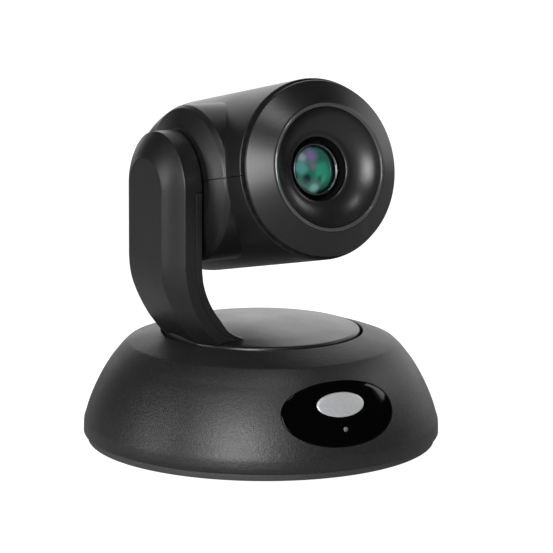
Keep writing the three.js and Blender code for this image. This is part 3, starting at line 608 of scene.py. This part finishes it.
win = dome_plate("window", super_pt(WIN[0] - 0.3, WIN[1] - 0.3, WIN[2], WIN[3]), 0.25, 2.35, (0.016, 0.3), 14, 200)
boolean(win, extrude("c", ring_pts(1.6, 48, 0, 23.9), -95, -60))
piece(win, "Front_Window", "root", MAT["gloss"], rep=("ir_window",), angle=35)
badge = dome_plate("badge", super_pt(12.9, 5.35, 35.2, 2), -0.72, 0.05, (0.075, 0.42), 10, 128)
piece(badge, "Badge_Oval", "root", MAT["silver"], rep=("window_badge",), angle=50)
led = lathe("led", [(0, 86.0), (0.5, 85.95), (0.9, 85.8), (1.15, 85.6), (1.3, 85.3), (1.3, 77.0), (0, 77.0)], 40, "S")
led.data.transform(Matrix.Translation((0, 0, 23.9)))
join(led, extrude("stem", rrect(-1.3, 1.3, 11.4, 25.0, 0.3), -78.5, -75.2))
piece(led, "Status_Light", "root", MAT["led"], rep=("status_led",), angle=40)

# ------------------------------------------------------------------ turntable disc
crown = smooth_line([(0, 61.0), (10, 60.87), (20, 60.5), (28, 60.05), (36, 59.5), (44, 58.72), (48.2, 58.25)], 4)
disc_prof = [(0, 58.6), (6.5, 58.4), (6.5, 52.3), (16.5, 52.3), (16.5, 58.0), (36, 56.9), (47.4, 55.8), (47.4, 53.6), (49.2, 53.6), (49.6, 53.9),
             (49.6, 57.1), (49.45, 57.6), (49.05, 57.98)] + crown[::-1]
disc = lathe("disc", disc_prof, 256)


def pad(g, n=256):
    p = lathe("pad", fillet([(0, 56.5 - g), (49.6 + g, 56.5 - g), (49.6 + g, 61.9 + g, 0.35), (0, 61.9 + g)], False, 3), n)
    return boolean(p, extrude("c", rrect(-60, -43.2 + g, -15.2 - g, 15.2 + g, 1.0, 3), 50, 70, "XY"), "INTERSECT")


boolean(disc, pad(0), "UNION")
boolean(disc, extrude("c", rrect(-40.2, -32.2, -14.6, 14.6, 0.6, 3), 50, 60.9, "XY"))
piece(disc, "Turntable_Disc", "turntable", MAT["disc"], M_TURN, rep=("turntable_disc",), angle=32)

# ------------------------------------------------------------------ arm
ARM_Z = [54, 56, 58.5, 61, 64, 67, 70, 74, 78, 82, 86, 90, 95, 100, 112, TZ]
C1 = [44.4, 46.6, 49.0, 51.2, 53.6, 55.9, 57.8, 60.2, 62.3, 64.2, 65.8, 66.9, 67.6, 67.8, 67.8, 67.8]
C2 = [37.9, 39.9, 42.1, 44.3, 47.4, 50.1, 52.2, 54.5, 56.3, 57.9, 59.1, 59.9, 60.6, 61.0, 61.0, 61.0]
C3 = [16.0, 18.5, 22.6, 29.8, 34.9, 37.6, 39.7, 42.8, 45.3, 47.2, 48.7, 49.7, 50.3, 50.6, 50.6, 50.6]
L3, LS, L2, L1 = 50.6, 54.7, 61.0, 67.8


def tangents(xs, ys):
    n = len(xs)
    d = [(ys[i + 1] - ys[i]) / (xs[i + 1] - xs[i]) for i in range(n - 1)]
    m = [d[0]] + [0.0] * (n - 2) + [d[-1]]
    for i in range(1, n - 1):
        m[i] = 0.0 if d[i - 1] * d[i] <= 0 else 2 * d[i - 1] * d[i] / (d[i - 1] + d[i])
    return m


TAN = {id(c): tangents(ARM_Z, c) for c in (C1, C2, C3)}


def at_z(c, z):
    if z >= TZ:
        return c[-1]
    if z <= ARM_Z[0]:
        return c[0]
    m = TAN[id(c)]
    for i in range(len(ARM_Z) - 1):
        if z <= ARM_Z[i + 1]:
            h = ARM_Z[i + 1] - ARM_Z[i]
            t = (z - ARM_Z[i]) / h
            return ((2 * t ** 3 - 3 * t * t + 1) * c[i] + (t ** 3 - 2 * t * t + t) * h * m[i]
                    + (-2 * t ** 3 + 3 * t * t) * c[i + 1] + (t ** 3 - t * t) * h * m[i + 1])


def map_l(l0, z):
    c1, c2, c3 = at_z(C1, z), at_z(C2, z), at_z(C3, z)
    if l0 <= L2:
        return c3 + (c2 - c3) * (l0 - L3) / (L2 - L3)
    return c2 + (c1 - c2) * (l0 - L2) / (L1 - L2)


def arm_loft(name, rings, zset, narc):
    verts, n = [], 2 * (len(zset) + narc)
    for l0, w, h in rings:
        left = [(w, z) for z in zset]
        for i in range(1, narc + 1):
            a = i / (narc + 0.5) * math.pi / 2
            left.append((w * math.cos(a), TZ + h * math.sin(a)))
        verts += [(-map_l(l0, z), -f, z) for f, z in left]
        verts += [(-map_l(l0, z), f, z) for f, z in left[::-1]]
    faces, K = [], len(rings)
    for k in range(K - 1):
        for i in range(n):
            j = (i + 1) % n
            faces.append((k * n + i, k * n + j, (k + 1) * n + j, (k + 1) * n + i))
    for k in (0, K - 1):
        for i in range(n // 2 - 1):
            faces.append((k * n + i, k * n + i + 1, k * n + n - 2 - i, k * n + n - 1 - i))
    return tmp(name, verts, faces)


def dense(lo, hi, n):
    return [lo + (hi - lo) * i / n for i in range(n + 1)]


ZD = dense(56, 104, 44) + dense(104, TZ, 8)[1:]
RINGS = [(50.6, 25.1, 26.4), (50.68, 25.5, 26.8), (50.9, 25.8, 27.1), (51.3, 25.95, 27.2), (55.8, 26.45, 27.1), (60.55, 26.95, 27.0),
         (60.82, 26.93, 26.95), (61.04, 26.75, 26.77), (61.25, 26.45, 26.45), (62.96, 24.38, 24.15), (64.74, 21.66, 21.2),
         (66.36, 18.83, 18.15), (67.15, 16.75, 15.85), (67.48, 16.25, 15.35), (67.70, 15.75, 14.85), (67.8, 15.05, 14.15)]
form = arm_loft("form", RINGS, ZD, 36)
core = arm_loft("core", [(L3 + 2, 23.8, 25.1), (L2 - 0.9, 25.0, 25.0), (L1 - 2.0, 14.7, 13.8)], dense(54, 104, 30) + dense(104, TZ, 4)[1:], 20)
under = lathe("under", [(0, 50), (52.6, 50), (52.6, 57.7), (48.8, 58.5), (44, 59.02), (36, 59.8), (28, 60.35), (20, 60.8), (10, 61.17), (0, 61.3)], 200)
boolean(under, pad(0.3), "UNION")
boolean(form, core)
boolean(form, under)
SEAM_Z = TZ - 0.36


def slab(name, lo, hi, z1):
    zz = [z for z in dense(54, TZ, 70) if z < z1 - 0.6] + [z1]
    verts, faces, w = [], [], 40
    for z in zz:
        for l0, y in ((lo, -w), (hi, -w), (hi, w), (lo, w)):
            verts.append((-map_l(l0, z), y, z))
    for k in range(len(zz) - 1):
        for i in range(4):
            j = (i + 1) % 4
            faces.append((4 * k + i, 4 * k + j, 4 * k + 4 + j, 4 * k + 4 + i))
    faces += [(0, 1, 2, 3), tuple(range(4 * len(zz) - 4, 4 * len(zz)))]
    return tmp(name, verts, faces)


neck = lathe("neck", [(0, 44), (12.6, 44), (12.6, 58), (0, 58)], 96, "L", at=(0, 0, TZ))
boolean(form, neck)
inner_cover = form.copy()
inner_cover.data = form.data.copy()
coll.objects.link(inner_cover)
boolean(inner_cover, slab("s", L3 - 4, LS - 0.16, SEAM_Z), "INTERSECT")
boolean(form, slab("s", L3 - 5, LS + 0.16, SEAM_Z + 0.32))
piece(form, "Arm_Outer_Cover", "turntable", MAT["arm"], M_TURN, rep=("arm_outer_cover",), angle=22, weighted=True)
piece(inner_cover, "Arm_Inner_Cover", "turntable", MAT["arm"], M_TURN, rep=("arm_inner_cover",), angle=22, weighted=True)

# ------------------------------------------------------------------ head shells
HR = 44.17
b_out = lathe("b", fillet([(0, -60), (HR, -60, 9.0), (HR, 51.2, 0.45), (0, 51.2)], False, 14), 256, "S")
b_in = lathe("b", fillet([(0, -57.8), (41.97, -57.8, 7.0), (41.97, 53.2), (0, 53.2)], False, 6), 128, "S")
p_out = lathe("p", fillet([(0, 0), (38.8, 0), (38.8, 42.6, 1.6), (37.35, 45.2, 0.7), (28.0, 48.3, 1.2), (0, 48.3)], False, 6), 256, "L")
p_in = lathe("p", [(0, 0), (36.6, 0), (36.6, 42.4), (35.6, 43.2), (27.4, 46.1), (0, 46.1)], 128, "L")
boolean(b_out, p_out, "UNION")
boolean(b_in, p_in, "UNION")
boolean(b_out, b_in)
boolean(b_out, lathe("n", [(0, 40), (11.6, 40), (11.6, 52), (0, 52)], 96, "L"))
for s, x in ((-30, 0), (28, 0)):
    boolean(b_out, extrude("c", ring_pts(3.1, 40, x, -s), -46, -38, "XY"))
lower = b_out.copy()
lower.data = b_out.data.copy()
coll.objects.link(lower)
boolean(b_out, box("u", -70, 70, -80, 80, 0.14, 60), "INTERSECT")
boolean(lower, box("u", -70, 70, -80, 80, -60, -0.14), "INTERSECT")
piece(b_out, "Head_Upper_Housing", "head", MAT["head"], M_HEAD, rep=("head_upper_shell",), angle=28, weighted=True)
piece(lower, "Head_Lower_Housing", "head", MAT["head"], M_HEAD, rep=("head_lower_shell",), angle=28, weighted=True)

bezel = lathe("bz", fillet([(39.6, 46.5), (41.5, 46.5), (41.5, 52.3, 0.2), (42.4, 52.3, 0.5), (43.05, 53.3, 0.7), (42.7, 54.5, 1.1), (31.9, 61.4, 0.8), (31.2, 61.8, 0.15),
                            (31.12, 61.2), (29.2, 61.2), (29.2, 59.2), (39.6, 52.0)], True, 6), 320, "S")
piece(bezel, "Front_Bezel", "head", MAT["bezel"], M_HEAD, rep=("front_bezel",), angle=35)
lip = lathe("lip", fillet([(31.08, 61.24), (31.08, 62.0, 0.3), (30.6, 62.35, 0.4), (29.75, 62.3, 0.5), (29.25, 61.6, 0.3), (29.25, 61.24)], True, 6), 320, "S")
piece(lip, "Bezel_Lip", "head", MAT["lip"], M_HEAD, angle=35)
dish = smooth_line([(28.95, 61.3), (27.5, 58.9), (25.0, 56.3), (22.0, 54.2), (19.0, 52.8), (16.9, 52.3)], 6)
hood_prof = dish + [(16.2, 52.05), (15.75, 51.7), (15.75, 50.9), (16.8, 50.7), (22.6, 52.1), (28.95, 58.2)]
piece(lathe("hood", hood_prof, 320, "S"), "Lens_Hood", "head", MAT["dish"], M_HEAD, rep=("lens_hood",), angle=35)
tube_prof = [(16.75, 50.6), (15.7, 50.8), (15.7, 51.55), (15.45, 51.45), (15.4, 50.9)]
for k in range(4):                                   # light-trap threads inside the lens opening
    s = 50.2 - 1.2 * k
    tube_prof += [(15.4, s), (15.75, s - 0.35), (15.75, s - 0.6), (15.4, s - 0.85)]
tube_prof += [(15.4, 45.0), (16.8, 45.0)]
piece(lathe("tube", tube_prof, 160, "S"), "Lens_Hood_Tube", "head", MAT["lensblack"], M_HEAD, angle=35)
barrel = lathe("lb", fillet([(12.8, 24.6), (12.8, 48.25, 0.2), (11.75, 48.25), (11.75, 43.0), (10.4, 43.0), (10.4, 24.6)], True, 5), 160, "S")
piece(barrel, "Lens_Barrel", "head", MAT["lensblack"], M_HEAD, rep=("lens_barrel",), angle=35)
rim = lathe("lr", fillet([(12.6, 48.27), (12.5, 49.2, 0.2), (12.15, 49.2, 0.15), (11.8, 48.5, 0.15), (11.8, 48.27)], True, 5), 160, "S")
piece(rim, "Lens_Ring", "head", MAT["ring"], M_HEAD, angle=35)
HR3 = M_HEAD.to_3x3()
MAT["lens"] = lens_material((SCALE @ M_HEAD @ Vector((0, -48, 0))).to_tuple(), (HR3 @ Vector((1, 0, 0))).to_tuple(), (HR3 @ Vector((0, 0, 1))).to_tuple())
lens_prof = smooth_line([(0, 49.6), (3.5, 49.35), (7.0, 48.65), (9.6, 47.75), (11.4, 46.9)], 6) + [(11.65, 46.6), (11.65, 43.3), (7, 43.2), (0, 43.2)]
piece(lathe("fl", lens_prof, 128, "S"), "Front_Lens", "head", MAT["lens"], M_HEAD, rep=("front_lens",), angle=40)

# ------------------------------------------------------------------ rear panel and connectors
tray = extrude("tray", rrect(-47, 47, 9, 39, 1.0), 62, 100)
boolean(tray, extrude("c", rrect(-45, 45, 11, 37, 1.6), 64, 110))
boolean(tray, dome_solid(0.15), "INTERSECT")
JB, FACE = 11.4, 64.3
for x0, x1, z0, z1, r in ((31.2, 40.8, JB - 0.1, JB + 11.3, 0.4), (11.7, 28.3, JB - 0.1, JB + 13.8, 0.4), (-8.3, 8.3, JB - 0.1, JB + 13.8, 0.4), (-25.3, -9.7, JB - 0.1, JB + 6.4, 0.5)):
    boolean(tray, extrude("c", rrect(x0, x1, z0, z1, r), 60, 70))
boolean(tray, extrude("c", ring_pts(5.2, 64, -36, 21), 60, 70))
boolean(tray, extrude("c", ring_pts(3.7, 48, 20, 31), 60, 70))
piece(tray, "Rear_Panel", "root", MAT["panel"], rep=("rear_panel",), angle=32)

power = extrude("pw", rrect(31.5, 40.5, JB, JB + 11, 0.7), 50, FACE, edge=0.3)
boolean(power, extrude("c", ring_pts(3.2, 48, 36, JB + 5.8), 54, 70))
piece(power, "Power_Jack", "root", MAT["black"], rep=("power_jack",), angle=35)
pin = lathe("pin", [(0, -63.3), (0.6, -63.2), (1.0, -62.8), (1.0, -53.9), (0, -53.9)], 32, "S", at=(36, 0, JB + 5.8))
piece(pin, "Power_Pin", "root", MAT["jack"])
for nm, node, x in (("Network", "network_jack", 20), ("Serial", "serial_jack", 0)):
    j = extrude("j", rrect(x - 8, x + 8, JB, JB + 13.5, 0.35), 44, FACE, edge=0.2)
    boolean(j, extrude("c", rrect(x - 5.9, x + 5.9, JB + 2.2, JB + 10.2, 0.2), 52, 70))
    boolean(j, extrude("c", rrect(x - 3, x + 3, JB + 9.9, JB + 12, 0.2), 52, 70))
    piece(j, f"{nm}_Jack", "root", MAT["jack"], rep=(node,), angle=35)
    wires = []
    for k in range(8):
        cx = x - 3.57 + 1.02 * k
        pts = [(52.2, JB + 9.4), (60.5, JB + 9.9), (62.3, JB + 9.7), (62.3, JB + 9.45), (60.6, JB + 9.55), (54.5, JB + 6.6), (52.2, JB + 6.2), (52.2, JB + 6.5), (54.4, JB + 6.9)]
        wires.append(extrude("w", [(53.0, JB + 9.75), (61.9, JB + 9.75), (61.9, JB + 9.45), (60.2, JB + 9.3), (54.4, JB + 6.5), (53.0, JB + 6.3), (53.0, JB + 6.65), (54.2, JB + 6.85), (59.6, JB + 9.45), (53.0, JB + 9.45)],
                             cx - 0.22, cx + 0.22, "YZ"))
    w0 = join(wires[0], *wires[1:])
    piece(w0, f"{nm}_Contacts", "root", MAT["gold"], angle=30)
hd = extrude("h", rrect(-25, -10, JB, JB + 6.1, 0.9), 52, FACE, edge=0.15)
boolean(hd, extrude("c", [(-24.5, JB + 5.4), (-24.5, JB + 2.4), (-22.6, JB + 0.7), (-12.4, JB + 0.7), (-10.5, JB + 2.4), (-10.5, JB + 5.4)], 55, 70))
piece(hd, "Video_Jack", "root", MAT["jack"], rep=("hdmi_port",), angle=35)
tongue = extrude("t", rrect(-23.0, -12.0, JB + 2.7, JB + 3.9, 0.2), 54.9, 63.2, edge=0.12)
piece(tongue, "Video_Jack_Tongue", "root", MAT["black"])
b = lathe("bnc", fillet([(0, -52), (4.85, -52), (4.85, -63.6), (4.55, -64.0), (4.55, -74.6, 0.2), (4.85, -74.9, 0.2), (4.85, -76, 0.25), (4.1, -76, 0.2), (4.1, -66), (0, -66)], False, 3), 72, "S")
lugs = lathe("lug", [(0, -41.6), (0.9, -41.5), (0.9, -30.5), (0, -30.4)], 24, "L")
lugs.data.transform(Matrix.Translation((-72, 71, 0)))
boolean(lugs, extrude("c", ring_pts(4.3, 48, -36, 0), 60, 80))
b.data.transform(Matrix.Translation((-36, 0, 21)))
lugs.data.transform(Matrix.Translation((0, 0, 21)))
join(b, lugs, extrude("bb", rrect(-42, -30, JB, 27, 0.5), 52.1, 61.5, edge=0.3))
piece(b, "Coax_Jack", "root", MAT["jack"], rep=("sdi_connector",), angle=35)
di = lathe("di", [(1.1, -66), (3.2, -66), (3.2, -70.8), (3.0, -71), (1.1, -71)], 48, "S", at=(-36, 0, 21))
piece(di, "Coax_Insulator", "root", MAT["white"])
cp = lathe("cp", [(0, -66), (1.1, -66), (1.1, -74.2), (0.8, -74.5), (0, -74.5)], 32, "S", at=(-36, 0, 21))
piece(cp, "Coax_Pin", "root", MAT["gold"])
knob = lathe("kn", fillet([(0, -57), (1.5, -57), (1.5, -62.3), (3.3, -62.3, 0.2), (3.3, -65.6, 0.35), (0, -65.6)], False, 4), 72, "S", at=(20, 0, 31))
boolean(knob, extrude("c", rrect(17.6, 22.4, 30.6, 31.4, 0.2), 64.8, 70))
piece(knob, "Mode_Knob", "mode_switch", MAT["knob"], rep=("mode_switch_knob",), angle=35)
ticks = []
for k in range(8):
    a = math.radians(22.5 + 45 * k)
    c, s = math.cos(a), math.sin(a)
    q = [(20 + c * r - s * w, 31 + s * r + c * w) for r, w in ((4.25, -0.18), (5.2, -0.18), (5.2, 0.18), (4.25, 0.18))]
    ticks.append(extrude("tk", q, 63.9, 64.12))
piece(join(ticks[0], *ticks[1:]), "Mode_Dial_Marks", "root", MAT["white"])

# ------------------------------------------------------------------ carried CAD nodes: materials
TABLE = {
    "tripod_insert": "brass", "base_screw": "steel", "ir_receiver": "black", "main_board": "pcb", "mode_switch_body": "black",
    "pan_chassis": "cast", "pan_motor": "can", "pan_bearing": "steel", "pan_pinion": "brass", "pan_gear": "gear", "pan_hub": "machined",
    "arm_screw": "steel", "arm_frame": "cast", "tilt_bearing": "steel", "tilt_motor_pulley": "machined", "tilt_motor": "can", "tilt_belt": "belt",
    "arm_cable": "cable", "head_screw": "steel", "camera_block": "cast", "sensor_board": "pcb", "guide_rod": "steel", "zoom_lens_group": "lensblack",
    "focus_lens_group": "lensblack", "block_bracket": "machined", "tilt_hub": "machined", "tilt_pulley": "machined",
}
for name, ob in NODES.items():
    if ob.hide_render:
        continue
    key = max((k for k in TABLE if name.startswith(k)), key=len, default=None)
    if key is None:
        print("NO MATERIAL FOR", name)
        key = "pan_chassis"
    mat = MAT[TABLE[key]]
    ob.data.materials.clear()
    ob.data.materials.append(mat)

# ------------------------------------------------------------------ stage, lights, world
bm = bmesh.new()
bmesh.ops.create_grid(bm, x_segments=8, y_segments=8, size=4.0)
fm = bpy.data.meshes.new("floor")
bm.to_mesh(fm)
bm.free()
floor = bpy.data.objects.new("floor", fm)
coll.objects.link(floor)
fmat = Mat("floor_white")
fmat.b.inputs["Roughness"].default_value = 0.9
fmat.b.inputs["Specular IOR Level"].default_value = 0.1
fmat.b.inputs["Base Color"].default_value = (0.4, 0.4, 0.4, 1)
fmat.b.inputs["Emission Color"].default_value = (1, 1, 1, 1)
flp = fmat.n("ShaderNodeLightPath")
fmat.link(fmat.remap(flp.outputs["Is Camera Ray"], 0.0, 1.0, 0.1, 1.0), fmat.b.inputs["Emission Strength"])
floor.data.materials.append(fmat.m)


def area(name, az, el, dist, size, power, target=(0, 0, 0.11), size_y=None):
    l = bpy.data.lights.new(name, "AREA")
    l.shape = "RECTANGLE" if size_y else "SQUARE"
    l.size = size
    if size_y:
        l.size_y = size_y
    l.energy = power
    o = bpy.data.objects.new(name, l)
    coll.objects.link(o)
    a, e = math.radians(az), math.radians(el)
    t = Vector(target)
    p = t + dist * Vector((math.sin(a) * math.cos(e), -math.cos(a) * math.cos(e), math.sin(e)))
    o.matrix_world = Matrix.Translation(p) @ (p - t).to_track_quat("Z", "Y").to_matrix().to_4x4()
    return o


area("softbox_front_left", -44, 17, 1.6, 0.74, 27.5, size_y=0.82)
area("softbox_top_front", -15, 62, 1.5, 0.22, 3.0)
area("strip_left", -100, 5, 1.5, 0.35, 6.5, size_y=0.9)
area("softbox_right", 78, 28, 1.5, 0.4, 2.5)
area("strip_top_back", 150, 55, 1.5, 0.9, 1.5)

world = bpy.data.worlds.new("studio")
scene.world = world
world.use_nodes = True
wt = world.node_tree
wt.nodes.clear()
W = lambda kind: wt.nodes.new(kind)
tc, sep, out = W("ShaderNodeTexCoord"), W("ShaderNodeSeparateXYZ"), W("ShaderNodeOutputWorld")
wt.links.new(tc.outputs["Generated"], sep.inputs[0])
dot = W("ShaderNodeVectorMath")
dot.operation = "DOT_PRODUCT"
wt.links.new(tc.outputs["Generated"], dot.inputs[0])
dot.inputs[1].default_value = (0.64, 0.768, 0.0)


def wmap(src, a, b, c, d):
    x = W("ShaderNodeMapRange")
    x.interpolation_type = "SMOOTHSTEP"
    for k, v in (("From Min", a), ("From Max", b), ("To Min", c), ("To Max", d)):
        x.inputs[k].default_value = v
    wt.links.new(src, x.inputs["Value"])
    return x.outputs["Result"]


def wmath(op, a, b):
    x = W("ShaderNodeMath")
    x.operation = op
    for s, v in ((x.inputs[0], a), (x.inputs[1], b)):
        if hasattr(v, "links"):
            wt.links.new(v, s)
        else:
            s.default_value = v
    return x.outputs[0]


back = wmap(dot.outputs["Value"], 0.5, 0.97, 0.01, 1.9)
low = wmap(sep.outputs["Z"], 0.3, 0.75, 1.0, 0.05)
glow = wmath("MULTIPLY", back, low)
lp = W("ShaderNodeLightPath")
bg1, bg2, mx = W("ShaderNodeBackground"), W("ShaderNodeBackground"), W("ShaderNodeMixShader")
wt.links.new(glow, bg1.inputs["Strength"])
bg2.inputs["Strength"].default_value = 1.0
wt.links.new(lp.outputs["Is Camera Ray"], mx.inputs[0])
wt.links.new(bg1.outputs[0], mx.inputs[1])
wt.links.new(bg2.outputs[0], mx.inputs[2])
wt.links.new(mx.outputs[0], out.inputs["Surface"])
scene.view_settings.view_transform = "Standard"
scene.view_settings.look = "None"
